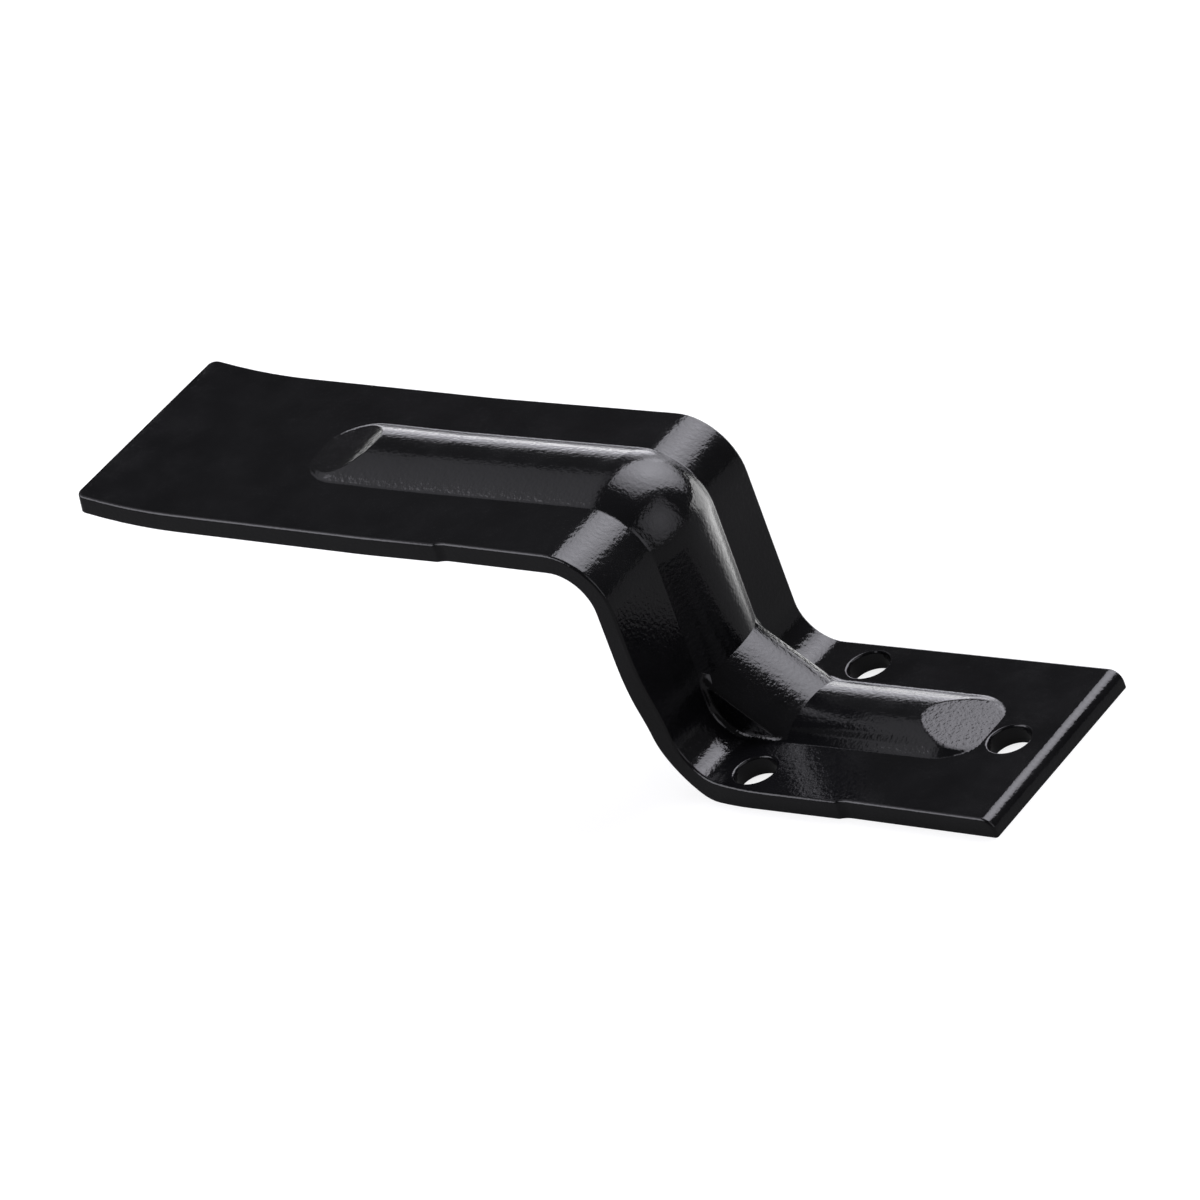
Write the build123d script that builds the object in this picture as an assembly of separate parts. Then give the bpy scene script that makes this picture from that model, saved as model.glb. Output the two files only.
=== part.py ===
from build123d import *
from math import cos, radians, sin, tan
import os

# Open bracket that holds a timber bar across a door, pressed from one steel
# strip. The foot lies on the wall, the riser stands off it by the bar's
# thickness, and the arm runs out over the bar to a tip that turns up a little.
# A stiffening rib is pressed outwards along the middle of the strip, and
# pressing it drew one edge of the strip in at the lower bend.
# The frame: +Z away from the wall, +X along the foot, +Y across the strip.
# The origin is the centre of the end screw hole on the wall side of the foot.
# Heights are measured from the strip's wall side, the side that faces the bar.

# Strip, in millimetres
strip_width = 38.0
strip_thickness = 3.2
bend_radius = 6.8  # on the hollow side of both bends
bar_gap = 41.2  # from the wall side of the foot to the underside of the arm

# Near edge of the strip, drawn in round the lower bend
edge_draw_in = 2.1
draw_in_slope = 16.0
draw_in_shift = 3.0  # from the middle of the bend up to the deepest point

# Foot
foot_length = 61.5  # from the back of the riser to the end of the foot
foot_end_rounding = 2.2  # rolled edge that shearing left on the end

# Arm
arm_to_bow = 42.2  # from the back of the riser to the slight bow in the arm
arm_bow_angle = 1.2
arm_bow_radius = 200.0
straight_arm_length = 80.2  # from the back of the riser to where the tip turns up
tip_turn_angle = 10.5
tip_turn_radius = 102.0
tip_straight_length = 1.0  # from the end of the turn to the end of the arm
tip_corner_radius = 1.6

# Screw holes in the foot, the two side holes staggered along it
screw_hole_radius = 3.4
hole_lip_radius = 0.4
end_hole_to_foot_end = 8.65
side_hole_to_bend = 4.6  # from the end of the bend to the nearer side hole
side_hole_stagger = 3.3
side_hole_to_edge = 5.2  # from the centre of a side hole to the strip's edge

# Rib
rib_height = 2.4
rib_half_width = 7.9
rib_offset = 1.4  # the press left the rib this far off the centre line
rib_on_arm = 64.6  # from the back of the riser to the end of the rib
rib_to_end_hole = 0.2  # flat left between the rib's end and the hole's lip
ramp_length = 11.8  # how far the rib slopes down at each end
steep_ramp_length = 3.9  # first part of the ramp on the arm
steep_ramp_drop = 1.45
ramp_sweep_radius = 16.0  # where the steep part runs out into the shallow one
foot_end_round = 6.8  # from the ramp's foot back to the centre of the rounded end
arm_end_round = 7.6  # the same on the arm
gusset_rise = 11.0  # height over the foot where the gusset leaves the riser
gusset_run = 12.7  # distance from the riser where the gusset meets the foot
rib_rounding = 1.0  # where the rib's sides rise from the strip
foot_ramp_rounding = 2.0
hollow_mouth_rounding = 1.2  # round the rib's hollow on the wall side

# Edge of the strip's outer face, rolled over where the strip was sheared
face_edge_radius = 0.45

# How far a cutting or joining body runs past the surface it works on
overlap = 1.0
# How far a point may lie from a face that it counts as being on
tolerance = 0.001
# How far apart faces of the strip and the rib may lie where they are joined
join_tolerance = 0.0001

# Worked out from the sizes above
half_width = strip_width / 2
riser_back_x = end_hole_to_foot_end - foot_length
riser_face_x = riser_back_x + strip_thickness
outer_bend_radius = bend_radius + strip_thickness
rib_radius = (rib_half_width**2 + rib_height**2) / (2 * rib_height)
rib_top = strip_thickness + rib_height
rib_axis_height = rib_top - rib_radius
rib_end_x = -(screw_hole_radius + hole_lip_radius + rib_to_end_hole)


def direction(angle):
    """Unit vector in the XZ plane, falling from +X by an angle."""
    return Vector(cos(radians(angle)), 0, -sin(radians(angle)))


def outward(run):
    """Unit vector square to a run of the strip, away from its wall side."""
    return Vector(-run.Z, 0, run.X)


def tangent_length(radius, angle):
    """Distance from a sharp corner to where its rounding starts."""
    return radius * tan(radians(angle / 2))


# Directions of the strip's runs, followed from the tip to the end of the foot
arm_run = direction(0)
bowed_run = direction(arm_bow_angle)
tip_run = direction(arm_bow_angle + tip_turn_angle)
riser_run = direction(90)
foot_run = direction(0)

# Sharp corners of the strip's wall side
lower_corner = Vector(riser_back_x, 0, 0)
upper_corner = Vector(riser_back_x, 0, bar_gap)
bow_corner = upper_corner - arm_run * arm_to_bow
tip_tangent = tangent_length(tip_turn_radius, tip_turn_angle)
tip_corner = bow_corner - bowed_run * (straight_arm_length - arm_to_bow + tip_tangent)
tip_end = tip_corner - tip_run * (tip_tangent + tip_straight_length)

# Plane on the bowed length of the arm, with its X towards the tip
bow_tangent = tangent_length(arm_bow_radius, arm_bow_angle)
towards_tip = Plane(
    origin=bow_corner - bowed_run * bow_tangent,
    x_dir=bowed_run * -1,
    z_dir=outward(bowed_run),
)


def moved_corner(point, before, after, height):
    """A corner between two runs, moved outwards to a height over both."""
    first = outward(before)
    second = outward(after)
    return point + (first + second) * (height / (1 + first.dot(second)))


def strip_side_line(height):
    """The strip's line at a height over its wall side, seen from the side."""
    points = [
        tip_end + outward(tip_run) * height,
        moved_corner(tip_corner, tip_run, bowed_run, height),
        moved_corner(bow_corner, bowed_run, arm_run, height),
        moved_corner(upper_corner, arm_run, riser_run, height),
        moved_corner(lower_corner, riser_run, foot_run, height),
        Vector(end_hole_to_foot_end, 0, height),
    ]
    radii = [
        tip_turn_radius - height,
        arm_bow_radius - height,
        bend_radius + height,
        outer_bend_radius - height,
    ]
    return FilletPolyline(*points, radius=radii)


def face_edge(strip):
    """The straight far edge of the foot's outer face, which the whole rim runs on from."""
    on_face = [
        edge
        for edge in strip.edges().filter_by(Axis.X)
        if abs(edge.center().Z - strip_thickness) < tolerance and edge.center().X > riser_face_x
    ]
    return sorted(on_face, key=lambda edge: edge.length)[-1:]


def draw_in():
    """Cutter that draws the strip's near edge in round the lower bend."""
    slope = radians(draw_in_slope)
    radius = edge_draw_in / (2 * (1 - cos(slope)))
    peak = edge_draw_in + radius * (1 / cos(slope) - 1)
    half_span = peak / tan(slope)
    reach = half_span + draw_in_shift + outer_bend_radius
    edge_line = FilletPolyline(
        (-reach, 0), (-half_span, 0), (0, peak), (half_span, 0), (reach, 0), radius=0.95 * radius
    )
    outside = Polyline((-reach, 0), (-reach, -overlap), (reach, -overlap), (reach, 0))
    across_bend = (riser_run + foot_run).normalized()
    deepest = lower_corner - across_bend * draw_in_shift - Vector(0, half_width, 0)
    plane = Plane(origin=deepest, x_dir=across_bend, z_dir=outward(across_bend))
    return extrude(plane * make_face([edge_line, outside]), amount=reach)


def bent_strip():
    """The plain bent strip with its rounded corners and edges."""
    wall_line = strip_side_line(0)
    face_line = strip_side_line(strip_thickness)
    tip_line = Line(wall_line @ 0, face_line @ 0)
    end_line = Line(wall_line @ 1, face_line @ 1)
    side = make_face([wall_line, face_line, tip_line, end_line])
    strip = extrude(side, amount=half_width, dir=(0, 1, 0), both=True)
    strip -= draw_in()

    corners = [
        edge
        for edge in strip.edges()
        if abs(edge.length - strip_thickness) < tolerance and edge.center().X < bow_corner.X
    ]
    strip = fillet(corners, tip_corner_radius)
    end_edges = strip.edges().filter_by(Axis.Y).filter_by(lambda edge: edge.center().X > 0)
    strip = fillet(end_edges.sort_by(Axis.Z)[-1:], foot_end_rounding)
    return fillet(face_edge(strip), face_edge_radius)


def section_plane(point, run):
    """Plane square to a run, with its X across the strip and its Y outwards."""
    return Plane(origin=point, x_dir=(0, 1, 0), z_dir=run)


def rib_section(inset, depth):
    """Section across the rib, between a depth and its round top."""
    round_top = Pos(0, rib_axis_height) * Circle(rib_radius - inset)
    window_height = rib_top - depth
    window = Pos(0, depth + window_height / 2) * Rectangle(strip_width, window_height)
    return round_top & window


def rib_along(start, end, inset, depth):
    """Straight length of the rib between two points on the wall side."""
    run = (end - start).normalized()
    return extrude(section_plane(start, run) * rib_section(inset, depth), amount=(end - start).length)


def rib_round(start, run, centre_height, angle, inset, depth):
    """Curved length of the rib that follows a bend of the strip."""
    centre = start + outward(run) * centre_height
    turn = Axis(centre, (0, 1 if centre_height < 0 else -1, 0))
    return revolve(section_plane(start, run) * rib_section(inset, depth), axis=turn, revolution_arc=angle)


def foot_ramp():
    """Corners of the ramp on the foot, seen from the side, from its top to its foot."""
    return [
        Vector(rib_end_x - ramp_length, 0, rib_top),
        Vector(rib_end_x, 0, strip_thickness),
    ]


def arm_ramp():
    """Corners of the ramp on the arm, steep at first, in the plane towards the tip."""
    end = rib_on_arm - arm_to_bow - bow_tangent
    return [
        Vector(end - ramp_length, 0, rib_top),
        Vector(end - ramp_length + steep_ramp_length, 0, rib_top - steep_ramp_drop),
        Vector(end, 0, strip_thickness),
    ]


def rib_bead(start_x, ramp, end_round, inset, depth):
    """Straight rib along +X that slopes down its ramp to a rounded end."""
    runs = [arm_run] + [(low - high).normalized() for high, low in zip(ramp, ramp[1:])]
    corners = [
        moved_corner(point, before, after, -inset) for point, before, after in zip(ramp, runs, runs[1:])
    ]
    low_end = corners[-1] + runs[-1] * ((depth - corners[-1].Z) / runs[-1].Z)
    start = Vector(start_x, 0, depth)
    side = make_face(Polyline(start, Vector(start_x, 0, rib_top - inset), *corners, low_end, close=True))
    for corner in corners[1:]:
        swept = side.vertices().sort_by_distance(corner)[0]
        side = fillet(swept, ramp_sweep_radius + inset)
    ramped = extrude(side, amount=half_width, dir=(0, 1, 0), both=True)
    centre = Vector(ramp[-1].X - end_round, 0, rib_axis_height)
    across = section_plane(Vector(start_x, 0, rib_axis_height), arm_run)
    barrel = extrude(across * Circle(rib_radius - inset), amount=centre.X - start_x)
    ball = Pos(centre) * Sphere(rib_radius - inset)
    return ramped & (barrel + ball)


def gusset(inset, depth):
    """Flat diagonal of the rib that braces the bend between riser and foot."""
    top = Vector(riser_face_x + rib_height, 0, strip_thickness + gusset_rise)
    bottom = Vector(riser_face_x + gusset_run, 0, rib_top)
    run = (bottom - top).normalized()
    top_inside = moved_corner(top, riser_run, run, -inset)
    bottom_inside = moved_corner(bottom, run, foot_run, -inset)
    points = [
        Vector(riser_back_x + depth, 0, top_inside.Z),
        Vector(riser_back_x + depth, 0, depth),
        Vector(bottom_inside.X, 0, depth),
    ]
    back = FilletPolyline(*points, radius=outer_bend_radius - depth)
    front = Polyline(points[-1], bottom_inside, top_inside, points[0])
    side = make_face([back, front])
    block = extrude(side, amount=rib_half_width - inset, dir=(0, 1, 0), both=True)
    axis_start = top - run * rib_radius - outward(run) * rib_radius
    barrel = extrude(
        section_plane(axis_start, run) * Circle(rib_radius - inset),
        amount=(bottom - top).length + 2 * rib_radius,
    )
    return block & barrel


def rib_body(inset, depth, run_on):
    """The rib moved in by an inset, down to a depth over the wall side.

    Its straight lengths run on into the lower bend by the given distance.
    """
    foot_start = lower_corner + foot_run * (outer_bend_radius - run_on)
    riser_end = lower_corner - riser_run * (outer_bend_radius - run_on)
    arm_end = upper_corner - arm_run * bend_radius
    bow_start = bow_corner - bowed_run * bow_tangent
    body = rib_bead(foot_start.X, foot_ramp(), foot_end_round, inset, depth)
    body += gusset(inset, depth)
    body += rib_along(upper_corner + riser_run * bend_radius, riser_end, inset, depth)
    body += rib_round(arm_end, arm_run, -bend_radius, 90, inset, depth)
    body += rib_along(bow_corner + arm_run * bow_tangent, arm_end, inset, depth)
    body += rib_round(bow_start, bowed_run, arm_bow_radius, arm_bow_angle, inset, depth)
    body += towards_tip * rib_bead(0, arm_ramp(), arm_end_round, inset, depth)
    return Pos(0, rib_offset, 0) * body


def screw_hole(x, y):
    """Cutter for a screw hole with a rounded lip on the outer side."""
    lip_start = strip_thickness - hole_lip_radius
    lip_reach = screw_hole_radius + hole_lip_radius
    lip = CenterArc((lip_reach, lip_start), hole_lip_radius, 90, 90)
    rest = Polyline(
        (screw_hole_radius, lip_start),
        (screw_hole_radius, -overlap),
        (0, -overlap),
        (0, rib_top + overlap),
        (lip_reach, rib_top + overlap),
        (lip_reach, strip_thickness),
    )
    profile = Plane.XZ * make_face([lip, rest])
    return Pos(x, y, 0) * revolve(profile, axis=Axis.Z)


def on_strip_face(edge):
    """Whether an edge of the rib lies on the outer face of the strip."""
    middle = edge @ 0.5
    within_rib = abs(middle.Y - rib_offset) < rib_half_width + tolerance
    face_line = strip_side_line(strip_thickness)
    return within_rib and face_line.distance_to(Vertex(middle.X, 0, middle.Z)) < tolerance


def on_gusset_wall(edge):
    """Whether an edge is the slanting top of one of the gusset's side walls."""
    travel = edge % 0.5
    at_side = abs(abs((edge @ 0.5).Y - rib_offset) - rib_half_width) < tolerance
    slanting = min(abs(travel.X), abs(travel.Z)) > sin(radians(tip_turn_angle))
    return at_side and slanting and edge.geom_type == GeomType.LINE


def ramp_rims(body, plane, ramp):
    """The curved rims of the first flat face of a ramp."""
    middle = plane.from_local_coords((ramp[0] + ramp[1]) / 2) + Vector(0, rib_offset, 0)
    flat = body.faces().sort_by_distance(middle)[0]
    return [edge for edge in flat.edges() if edge.geom_type != GeomType.LINE]


def soften_rib(body):
    """Round the ramp on the foot, then the other ramp with the rib's sides."""
    body = fillet(ramp_rims(body, Plane.XY, foot_ramp()), foot_ramp_rounding)
    sides = [edge for edge in body.edges() if on_strip_face(edge) or on_gusset_wall(edge)]
    return fillet(sides + ramp_rims(body, towards_tip, arm_ramp()), rib_rounding)


def hollow_mouth(body):
    """The edges where the rib's hollow opens on the strip's wall side."""
    wall_line = strip_side_line(0)
    mouth = []
    for edge in body.edges():
        middle = edge @ 0.5
        box = edge.bounding_box()
        within_rib = max(box.max.Y - rib_offset, rib_offset - box.min.Y) < rib_half_width
        if within_rib and wall_line.distance_to(Vertex(middle.X, 0, middle.Z)) < tolerance:
            mouth.append(edge)
    return mouth


def bracket():
    """The whole bracket: strip, hollow rib and three screw holes."""
    body = bent_strip().fuse(rib_body(0, strip_thickness / 2, 0), tol=join_tolerance)
    body = soften_rib(body)
    body -= rib_body(strip_thickness, -overlap, outer_bend_radius)
    body = fillet(hollow_mouth(body), hollow_mouth_rounding)
    near_x = riser_face_x + bend_radius + side_hole_to_bend
    side_y = half_width - side_hole_to_edge
    body -= screw_hole(0, 0)
    body -= screw_hole(near_x, -side_y)
    body -= screw_hole(near_x + side_hole_stagger, side_y)
    return body


if __name__ == "__main__":
    os.makedirs("parts", exist_ok=True)
    export_step(bracket(), "parts/bracket.step")
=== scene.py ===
from math import radians

import bmesh
import bpy
from bpy.props import FloatProperty, FloatVectorProperty, IntProperty, PointerProperty
from bpy.types import Operator, Panel, PropertyGroup
from mathutils import Euler, Matrix, Vector


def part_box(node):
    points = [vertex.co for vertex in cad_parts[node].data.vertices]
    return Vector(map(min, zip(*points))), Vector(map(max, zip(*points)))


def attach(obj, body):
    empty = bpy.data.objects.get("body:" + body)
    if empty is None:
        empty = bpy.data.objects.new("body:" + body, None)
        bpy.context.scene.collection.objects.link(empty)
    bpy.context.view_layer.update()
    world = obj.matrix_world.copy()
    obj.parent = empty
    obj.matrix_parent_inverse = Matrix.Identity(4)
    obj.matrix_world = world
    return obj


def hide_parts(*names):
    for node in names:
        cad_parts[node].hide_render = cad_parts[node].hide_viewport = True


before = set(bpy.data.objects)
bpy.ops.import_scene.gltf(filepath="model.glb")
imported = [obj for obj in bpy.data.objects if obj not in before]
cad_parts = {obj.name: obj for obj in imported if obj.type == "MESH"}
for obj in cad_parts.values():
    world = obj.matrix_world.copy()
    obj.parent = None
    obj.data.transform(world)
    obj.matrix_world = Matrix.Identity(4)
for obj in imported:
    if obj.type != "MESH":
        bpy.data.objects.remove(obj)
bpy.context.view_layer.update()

bl_info = {
    "name": "Bar Holder Bracket",
    "version": (1, 0, 0),
    "blender": (4, 5, 0),
    "location": "View3D > Sidebar > Bracket",
    "description": "Pressed steel bar holder in gloss black powder coat, with its studio",
    "category": "Object",
}

# The only piece, and the material slot that it takes from the record
STRIP_NODE = "bracket"
COAT_SLOT = "black_coat"

# Lowest and highest corners of the bracket
BOX_LOW, BOX_HIGH = (Vector(corner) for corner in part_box(STRIP_NODE))

# Soft lamps round the bracket: direction seen from above and rise over the
# horizon in degrees, width and height in metres, power in watts
SOFT_LAMPS = {
    "rear_softbox": (84, 45, 1.1, 1.7, 7.4),
    "left_softbox": (-134, 33, 1.4, 0.9, 3.2),
    "high_left_fill": (-176, 46, 1.4, 0.8, 0.5),
    "right_fill": (4, 24, 1.1, 1.0, 0.8),
    "low_rear_card": (127, 0, 0.5, 0.6, 0.4),
    "rim_card": (112, 12, 0.5, 0.5, 0.22),
}

# Middle part of a noise's values, which is stretched over the whole range
NOISE_MIDDLE = (0.35, 0.65)


class BracketPressing(PropertyGroup):
    """Sizes of the pressed strip's finish and of the marks on its edge."""

    weld_distance: FloatProperty(
        name="Weld distance",
        description="Points of the pressing closer than this become one",
        default=0.000002,
        unit="LENGTH",
        precision=6,
    )
    crease_angle: FloatProperty(
        name="Crease angle",
        description="Edges that turn more than this stay crisp",
        default=radians(28),
        subtype="ANGLE",
    )
    face_weight: IntProperty(
        name="Face weight",
        description="How much the large faces rule the shading",
        default=100,
    )
    arm_mark_place: FloatProperty(
        name="Arm mark",
        description="Where the shear mark on the arm's near edge starts, along the bracket",
        default=-0.0808,
        unit="LENGTH",
    )
    foot_mark_place: FloatProperty(
        name="Foot mark",
        description="Where the shear mark on the foot's near edge starts, along the bracket",
        default=-0.0202,
        unit="LENGTH",
    )
    mark_width: FloatProperty(
        name="Mark width",
        description="Length of a shear mark along the edge",
        default=0.0022,
        unit="LENGTH",
    )
    mark_depth: FloatProperty(
        name="Mark depth",
        description="How far a shear mark steps into the edge",
        default=0.0002,
        unit="LENGTH",
        precision=5,
    )
    mark_steps: IntProperty(
        name="Mark steps",
        description="Parts between the cuts that shape each shear mark",
        default=6,
    )
    edge_reach: FloatProperty(
        name="Edge reach",
        description="Depth of the near edge's own faces across the strip",
        default=0.003,
        unit="LENGTH",
    )
    edge_lean: FloatProperty(
        name="Edge lean",
        description="Least lean towards the near side at which a face counts as the edge",
        default=0.05,
        subtype="FACTOR",
    )


class BracketCoat(PropertyGroup):
    """Colours and texture of the powder coat."""

    colour: FloatVectorProperty(
        name="Coat colour",
        description="Black of the powder coat",
        default=(0.0035, 0.0035, 0.0042),
        subtype="COLOR",
    )
    thin_colour: FloatVectorProperty(
        name="Thin coat colour",
        description="Slightly lighter black where the coat is thinner",
        default=(0.0055, 0.0055, 0.0063),
        subtype="COLOR",
    )
    patch_size: FloatProperty(
        name="Patch size",
        description="Distance between the thin and the thick patches of the coat",
        default=0.012,
        unit="LENGTH",
    )
    gloss: FloatProperty(
        name="Gloss roughness",
        description="Roughness of the coat where it flowed out well",
        default=0.10,
        subtype="FACTOR",
    )
    dull: FloatProperty(
        name="Dull roughness",
        description="Roughness of the coat where it stayed a little dry",
        default=0.17,
        subtype="FACTOR",
    )
    dry_size: FloatProperty(
        name="Dry patch size",
        description="Distance between the glossy and the dry patches of the coat",
        default=0.006,
        unit="LENGTH",
    )
    peel_size: FloatProperty(
        name="Orange peel size",
        description="Distance from one dimple of the orange peel to the next",
        default=0.0007,
        unit="LENGTH",
        precision=5,
    )
    peel_depth: FloatProperty(
        name="Orange peel depth",
        description="Depth of the orange peel's dimples",
        default=0.00005,
        unit="LENGTH",
        precision=6,
    )
    grain_size: FloatProperty(
        name="Powder grain size",
        description="Distance between the fine grains left in the coat",
        default=0.0004,
        unit="LENGTH",
        precision=5,
    )
    grain_depth: FloatProperty(
        name="Powder grain depth",
        description="Height of the fine grains",
        default=0.00001,
        unit="LENGTH",
        precision=6,
    )
    wave_size: FloatProperty(
        name="Press wave size",
        description="Length of the slow waves that pressing left in the sheet",
        default=0.014,
        unit="LENGTH",
    )
    wave_depth: FloatProperty(
        name="Press wave depth",
        description="Depth of the slow waves",
        default=0.00005,
        unit="LENGTH",
        precision=5,
    )


class BracketStudio(PropertyGroup):
    """Floor, lamps and camera."""

    floor_grey: FloatProperty(
        name="Floor grey",
        description="Grey of the floor as the camera sees it and as it lights the bracket",
        default=0.35,
        subtype="FACTOR",
    )
    # Painted shade: the floor's grey is set darker for rays mirrored off the coat, so the
    # floor reflects darker than it looks
    painted_mirror_shade: FloatProperty(
        name="Mirrored floor grey",
        description="Grey of the floor where the coat mirrors it",
        default=0.1,
        subtype="FACTOR",
    )
    near_glow: FloatProperty(
        name="Near floor glow",
        description="Glow that the camera sees by the bracket, below white to leave a shadow",
        default=0.8,
    )
    near_reach: FloatProperty(
        name="Near floor reach",
        description="Distance from the end hole at which that glow starts to rise",
        default=0.2,
        unit="LENGTH",
    )
    white_reach: FloatProperty(
        name="White floor reach",
        description="Distance from the end hole at which that glow is white",
        default=0.8,
        unit="LENGTH",
    )
    # Painted light: the glows below light the floor only in the coat's mirror, as a pool of
    # glow behind the bracket
    front_glow: FloatProperty(
        name="Front glow",
        description="Glow of the mirrored floor in front of the bracket",
        default=0.1,
    )
    rear_glow: FloatProperty(
        name="Rear glow",
        description="Glow that the mirrored floor gains behind the bracket",
        default=2.6,
    )
    rear_slant: FloatProperty(
        name="Rear slant",
        description="How far the rear glow's border runs across for each unit along",
        default=1.28,
    )
    rear_start: FloatProperty(
        name="Rear start",
        description="Where the rear glow starts, measured across",
        default=0.084,
        unit="LENGTH",
    )
    rear_full: FloatProperty(
        name="Rear full",
        description="Where the rear glow is full, measured across",
        default=0.125,
        unit="LENGTH",
    )
    far_side_blend: FloatProperty(
        name="Far side blend",
        description="Width over which the rear glow fades in on the far side",
        default=0.03,
        unit="LENGTH",
    )
    world_light: FloatProperty(
        name="World light",
        description="Strength of the dim light all round",
        default=0.06,
    )
    floor_span: FloatProperty(
        name="Floor span",
        description="Width of the floor",
        default=6.0,
        unit="LENGTH",
    )
    floor_gap: FloatProperty(
        name="Floor gap",
        description="Hair's breadth between the floor and the foot's back",
        default=0.00005,
        unit="LENGTH",
        precision=5,
    )
    lamp_colour: FloatVectorProperty(
        name="Lamp colour",
        description="Colour of the soft lamps",
        default=(0.93, 0.92, 1.0),
        subtype="COLOR",
    )
    lamp_distance: FloatProperty(
        name="Lamp distance",
        description="Distance from the bracket to each lamp",
        default=1.2,
        unit="LENGTH",
    )
    lamp_spread: FloatProperty(
        name="Lamp spread",
        description="How wide each lamp shines, so that it looks dimmer towards its edges",
        default=radians(90),
        subtype="ANGLE",
    )
    camera_place: FloatVectorProperty(
        name="Camera place",
        description="Where the camera stands",
        default=(0.67112, -0.73392, 0.61853),
        subtype="TRANSLATION",
        unit="LENGTH",
    )
    camera_target: FloatVectorProperty(
        name="Camera target",
        description="Point that the camera looks at",
        default=(-0.071794, 0.001463, 0.020458),
        subtype="TRANSLATION",
        unit="LENGTH",
    )
    camera_roll: FloatProperty(
        name="Camera roll",
        description="Turn of the camera about its own line of sight",
        default=radians(-20.8047),
        subtype="ANGLE",
    )
    camera_lens: FloatProperty(
        name="Camera lens",
        description="Focal length in millimetres",
        default=236.03,
    )
    camera_sensor: FloatProperty(
        name="Camera sensor",
        description="Width of the camera's sensor in millimetres",
        default=36.0,
    )
    camera_clip: FloatProperty(
        name="Camera clip start",
        description="Nearest distance that the camera shows",
        default=0.05,
        unit="LENGTH",
    )


# Pressed strip


def merged_pressing(node, weld_distance):
    """A welded copy of the pressing's mesh."""
    pressing = bmesh.new()
    pressing.from_mesh(node.data)
    bmesh.ops.remove_doubles(pressing, verts=pressing.verts, dist=weld_distance)
    return pressing


def near_edge(pressing, sizes, low, high):
    """The near edge's faces, rounding included, between two heights."""
    middles = ((face, face.calc_center_median()) for face in pressing.faces)
    return [
        face
        for face, middle in middles
        if face.normal.y < -sizes.edge_lean
        and middle.y < BOX_LOW.y + sizes.edge_reach
        and low < middle.z < high
    ]


def shear_mark(pressing, sizes, place, low, high):
    """A small step in the near edge that runs out again along it."""
    for step in range(sizes.mark_steps + 1):
        share = step / sizes.mark_steps
        faces = near_edge(pressing, sizes, low, high)
        edges = {edge for face in faces for edge in face.edges}
        corners = {corner for face in faces for corner in face.verts}
        cut = bmesh.ops.bisect_plane(
            pressing,
            geom=[*faces, *edges, *corners],
            dist=sizes.weld_distance,
            plane_co=Vector((place + share * sizes.mark_width, 0, 0)),
            plane_no=Vector((1, 0, 0)),
        )
        ring = [part for part in cut["geom_cut"] if isinstance(part, bmesh.types.BMVert)]
        if step:
            push = Vector((0, sizes.mark_depth * (1 - share), 0))
            bmesh.ops.translate(pressing, verts=ring, vec=push)
        pressing.normal_update()


def crisp_creases(pressing, crease_angle):
    """Shade the pressing smooth but for its true creases."""
    for face in pressing.faces:
        face.smooth = True
    for edge in pressing.edges:
        edge.smooth = len(edge.link_faces) == 2 and edge.calc_face_angle() < crease_angle


class BRACKET_OT_pressing(Operator):
    """Dress the pressed strip: a welded, smooth skin in powder coat"""

    bl_idname = "bracket.pressing"
    bl_label = "Pressed strip"

    def execute(self, context):
        sizes = context.scene.bracket_pressing
        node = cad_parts[STRIP_NODE]
        pressing = merged_pressing(node, sizes.weld_distance)
        half_way = (BOX_LOW.z + BOX_HIGH.z) / 2
        shear_mark(pressing, sizes, sizes.arm_mark_place, half_way, BOX_HIGH.z)
        shear_mark(pressing, sizes, sizes.foot_mark_place, BOX_LOW.z, half_way)
        crisp_creases(pressing, sizes.crease_angle)
        mesh = bpy.data.meshes.new("pressed_strip")
        pressing.to_mesh(mesh)
        pressing.free()
        strip = bpy.data.objects.new("pressed_strip", mesh)
        context.scene.collection.objects.link(strip)
        shading = strip.modifiers.new("even_shading", "WEIGHTED_NORMAL")
        shading.keep_sharp = True
        shading.weight = sizes.face_weight
        mesh.materials.append(powder_coat(context.scene.bracket_coat))
        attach(strip, "root")
        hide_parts(STRIP_NODE)
        return {"FINISHED"}


# Powder coat


def noise(tree, place, size, detail=1, roughness=0.5):
    """A noise texture whose features are a given size apart."""
    texture = tree.nodes.new("ShaderNodeTexNoise")
    texture.inputs["Scale"].default_value = 1 / size
    texture.inputs["Detail"].default_value = detail
    texture.inputs["Roughness"].default_value = roughness
    tree.links.new(place, texture.inputs["Vector"])
    return texture.outputs["Fac"]


def relief(tree, height, depth, under=None):
    """A bump of a given depth, laid over another one."""
    bump = tree.nodes.new("ShaderNodeBump")
    bump.inputs["Distance"].default_value = depth
    tree.links.new(height, bump.inputs["Height"])
    if under:
        tree.links.new(under, bump.inputs["Normal"])
    return bump.outputs["Normal"]


def climb(tree, value, start, end, low, high):
    """A value that climbs from low to high while another goes from start to end."""
    remap = tree.nodes.new("ShaderNodeMapRange")
    remap.inputs["From Min"].default_value = start
    remap.inputs["From Max"].default_value = end
    remap.inputs["To Min"].default_value = low
    remap.inputs["To Max"].default_value = high
    tree.links.new(value, remap.inputs["Value"])
    return remap.outputs["Result"]


def math_node(tree, operation, *values):
    """Values, or plain numbers, joined by sums or products."""
    joined = tree.nodes.new("ShaderNodeMath")
    joined.operation = operation
    for value, socket in zip(values, joined.inputs):
        if isinstance(value, (int, float)):
            socket.default_value = value
        else:
            tree.links.new(value, socket)
    return joined.outputs["Value"]


def spread(tree, value, low, high):
    """Stretch the middle of a noise over a range of values."""
    return climb(tree, value, *NOISE_MIDDLE, low, high)


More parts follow.
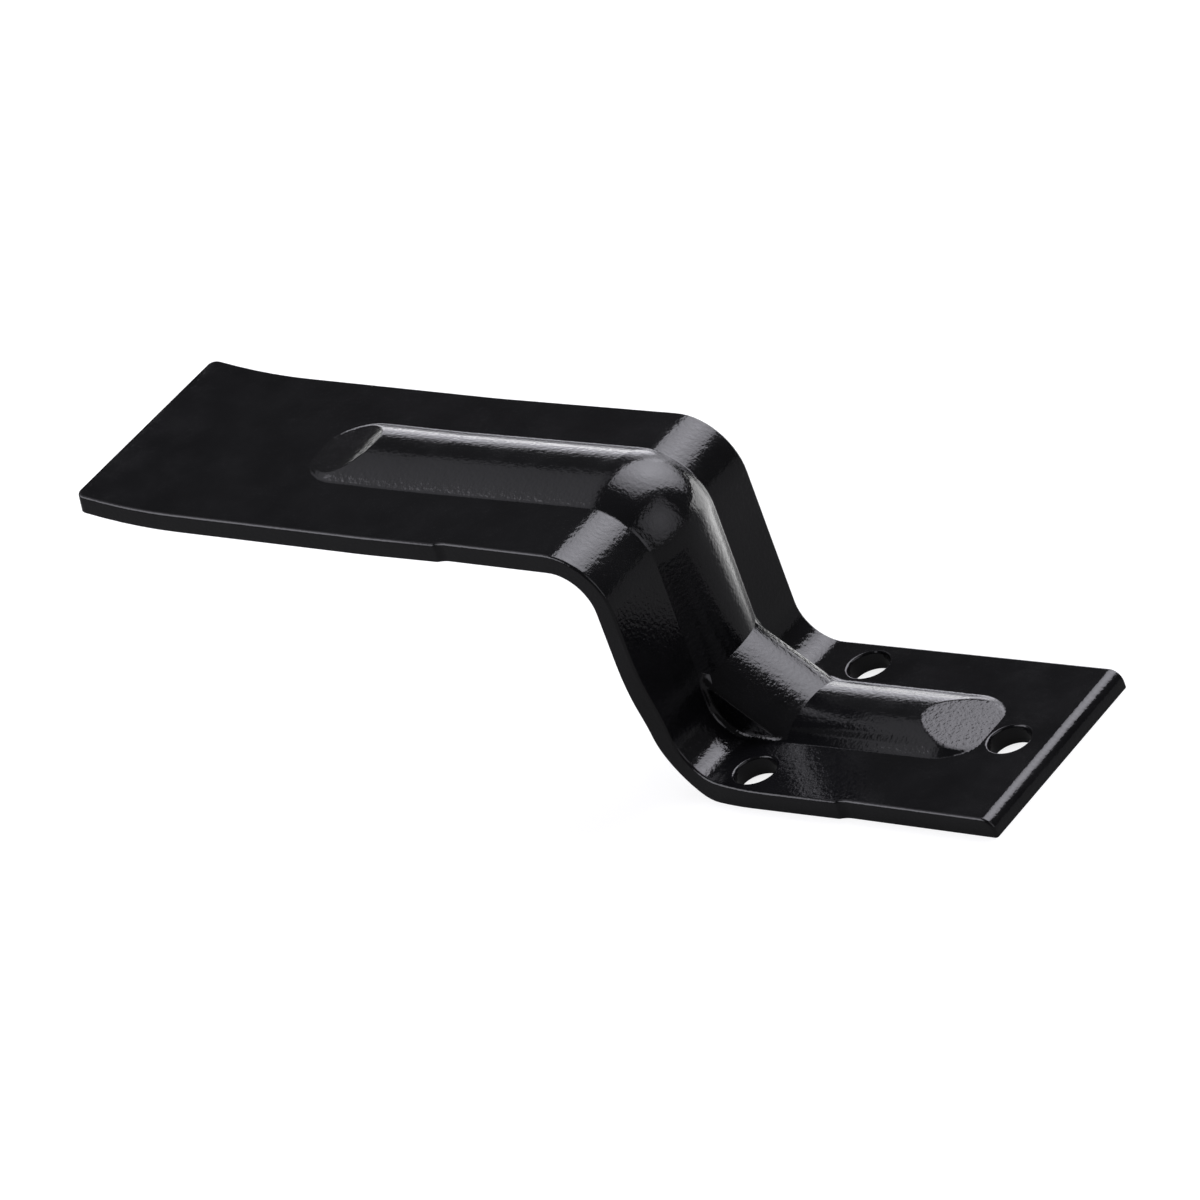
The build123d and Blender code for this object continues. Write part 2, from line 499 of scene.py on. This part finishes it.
def powder_coat(coat):
    """Gloss black powder coat with an orange peel and slow press waves."""
    material = bpy.data.materials.new(COAT_SLOT)
    material.use_nodes = True
    tree = material.node_tree
    shader = tree.nodes["Principled BSDF"]
    place = tree.nodes.new("ShaderNodeTexCoord").outputs["Object"]

    patches = noise(tree, place, coat.patch_size, detail=3)
    tint = tree.nodes.new("ShaderNodeMix")
    tint.data_type = "RGBA"
    tint.inputs["A"].default_value = (*coat.colour, 1)
    tint.inputs["B"].default_value = (*coat.thin_colour, 1)
    tree.links.new(spread(tree, patches, 0, 1), tint.inputs["Factor"])
    tree.links.new(tint.outputs["Result"], shader.inputs["Base Color"])

    dryness = noise(tree, place, coat.dry_size, detail=4, roughness=0.6)
    tree.links.new(spread(tree, dryness, coat.gloss, coat.dull), shader.inputs["Roughness"])

    waves = relief(tree, noise(tree, place, coat.wave_size), coat.wave_depth)
    dimples = noise(tree, place, coat.peel_size, detail=2)
    peel = relief(tree, dimples, coat.peel_depth, waves)
    grain = relief(tree, noise(tree, place, coat.grain_size), coat.grain_depth, peel)
    tree.links.new(grain, shader.inputs["Normal"])
    return material


# Studio


def aimed_lamp(context, name, azimuth, elevation, width, height, power):
    """A soft rectangular lamp that faces the bracket from a direction."""
    studio = context.scene.bracket_studio
    lamp = bpy.data.lights.new(name, "AREA")
    lamp.shape = "RECTANGLE"
    lamp.size = width
    lamp.size_y = height
    lamp.energy = power
    lamp.spread = studio.lamp_spread
    lamp.color = studio.lamp_colour
    holder = bpy.data.objects.new(name, lamp)
    context.scene.collection.objects.link(holder)
    away = Euler((0, -radians(elevation), radians(azimuth))).to_matrix() @ Vector((1, 0, 0))
    middle = (BOX_LOW + BOX_HIGH) / 2
    holder.location = middle + away * studio.lamp_distance
    holder.rotation_euler = (-away).to_track_quat("-Z", "Y").to_euler()
    holder.visible_camera = False


def pale_floor(context):
    """A wide floor just under the bracket, white to the camera."""
    studio = context.scene.bracket_studio
    sheet = bmesh.new()
    bmesh.ops.create_grid(sheet, x_segments=1, y_segments=1, size=studio.floor_span / 2)
    level = BOX_LOW.z - studio.floor_gap
    bmesh.ops.translate(sheet, vec=Vector((0, 0, level)), verts=sheet.verts)
    mesh = bpy.data.meshes.new("floor")
    sheet.to_mesh(mesh)
    sheet.free()
    floor = bpy.data.objects.new("floor", mesh)
    context.scene.collection.objects.link(floor)
    mesh.materials.append(floor_finish(studio))


def painted_mirror_glow(tree, studio, place):
    """Painted light in the coat's mirror: the floor glows only for mirrored rays, faintly in
    front of the bracket and strongly behind it.
    """
    split = tree.nodes.new("ShaderNodeSeparateXYZ")
    tree.links.new(place, split.inputs[0])
    along, across = split.outputs["X"], split.outputs["Y"]
    slant = math_node(tree, "MULTIPLY_ADD", along, -studio.rear_slant, across)
    rear = climb(tree, slant, studio.rear_start, studio.rear_full, 0, studio.rear_glow)
    far_side = climb(tree, across, 0, studio.far_side_blend, 0, 1)
    return math_node(tree, "MULTIPLY_ADD", rear, far_side, studio.front_glow)


def seen_floor(tree, studio, place):
    """Glow of the floor that the camera sees: white but for the part by the bracket."""
    distance = tree.nodes.new("ShaderNodeVectorMath")
    distance.operation = "LENGTH"
    tree.links.new(place, distance.inputs[0])
    reach = (studio.near_reach, studio.white_reach)
    return climb(tree, distance.outputs["Value"], *reach, studio.near_glow, 1)


def floor_finish(studio):
    """Matt floor, white to the camera with a faint shadow; in the coat's mirror it is painted
    darker, with a painted glow behind the bracket.
    """
    material = bpy.data.materials.new("pale_floor")
    material.use_nodes = True
    tree = material.node_tree
    shader = tree.nodes["Principled BSDF"]
    shader.inputs["Roughness"].default_value = 1
    shader.inputs["Specular IOR Level"].default_value = 0
    shader.inputs["Emission Color"].default_value = (1, 1, 1, 1)
    path = tree.nodes.new("ShaderNodeLightPath").outputs
    glossy = path["Is Glossy Ray"]
    # Painted shade: rays mirrored off the coat see the floor in a darker grey than the camera
    # does
    grey = climb(tree, glossy, 0, 1, studio.floor_grey, studio.painted_mirror_shade)
    tree.links.new(grey, shader.inputs["Base Color"])
    place = tree.nodes.new("ShaderNodeTexCoord").outputs["Object"]
    seen = math_node(tree, "ADD", path["Is Camera Ray"], path["Is Transmission Ray"])
    plain = math_node(tree, "MULTIPLY", seen, seen_floor(tree, studio, place))
    # Painted reflection: the floor glows only for rays mirrored off the coat
    mirrored = math_node(tree, "MULTIPLY", glossy, painted_mirror_glow(tree, studio, place))
    glow = math_node(tree, "ADD", plain, mirrored)
    tree.links.new(glow, shader.inputs["Emission Strength"])
    return material


def studio_world(context):
    """Dim even light all round, which the camera sees as white."""
    studio = context.scene.bracket_studio
    world = bpy.data.worlds.new("studio")
    world.use_nodes = True
    tree = world.node_tree
    background = tree.nodes["Background"]
    background.inputs["Color"].default_value = (1, 1, 1, 1)
    path = tree.nodes.new("ShaderNodeLightPath").outputs
    seen = math_node(tree, "ADD", path["Is Camera Ray"], path["Is Transmission Ray"])
    strength = climb(tree, seen, 0, 1, studio.world_light, 1)
    tree.links.new(strength, background.inputs["Strength"])
    context.scene.world = world


def photo_camera(context):
    """Camera at the photo's viewing angle."""
    studio = context.scene.bracket_studio
    camera = bpy.data.objects.new("camera", bpy.data.cameras.new("camera"))
    context.scene.collection.objects.link(camera)
    place = Vector(studio.camera_place)
    sight = (Vector(studio.camera_target) - place).to_track_quat("-Z", "Y")
    roll = Matrix.Rotation(studio.camera_roll, 4, "Z")
    camera.matrix_world = Matrix.Translation(place) @ sight.to_matrix().to_4x4() @ roll
    camera.data.sensor_width = studio.camera_sensor
    camera.data.lens = studio.camera_lens
    camera.data.clip_start = studio.camera_clip
    context.scene.camera = camera


class BRACKET_OT_studio(Operator):
    """Set the floor, the soft lamps and the camera"""

    bl_idname = "bracket.studio"
    bl_label = "Studio"

    def execute(self, context):
        context.scene.view_settings.view_transform = "Standard"
        photo_camera(context)
        pale_floor(context)
        studio_world(context)
        for name, aim in SOFT_LAMPS.items():
            aimed_lamp(context, name, *aim)
        return {"FINISHED"}


class BRACKET_PT_sidebar(Panel):
    """Sidebar panel that lists the bracket's parts and sizes"""

    bl_idname = "BRACKET_PT_sidebar"
    bl_label = "Bar holder bracket"
    bl_space_type = "VIEW_3D"
    bl_region_type = "UI"
    bl_category = "Bracket"

    def draw(self, context):
        for title, operator, settings in (
            ("Pressed strip", BRACKET_OT_pressing, context.scene.bracket_pressing),
            ("Powder coat", None, context.scene.bracket_coat),
            ("Studio", BRACKET_OT_studio, context.scene.bracket_studio),
        ):
            section = self.layout.box()
            section.label(text=title)
            for name in settings.bl_rna.properties.keys():
                if name not in ("name", "rna_type"):
                    section.prop(settings, name)
            if operator:
                section.operator(operator.bl_idname)


CLASSES = (
    BracketPressing,
    BracketCoat,
    BracketStudio,
    BRACKET_OT_pressing,
    BRACKET_OT_studio,
    BRACKET_PT_sidebar,
)


def register():
    for each in CLASSES:
        bpy.utils.register_class(each)
    bpy.types.Scene.bracket_pressing = PointerProperty(type=BracketPressing)
    bpy.types.Scene.bracket_coat = PointerProperty(type=BracketCoat)
    bpy.types.Scene.bracket_studio = PointerProperty(type=BracketStudio)


def unregister():
    del bpy.types.Scene.bracket_studio
    del bpy.types.Scene.bracket_coat
    del bpy.types.Scene.bracket_pressing
    for each in reversed(CLASSES):
        bpy.utils.unregister_class(each)


def main():
    register()
    bpy.ops.bracket.pressing()
    bpy.ops.bracket.studio()


if __name__ == "__main__":
    main()
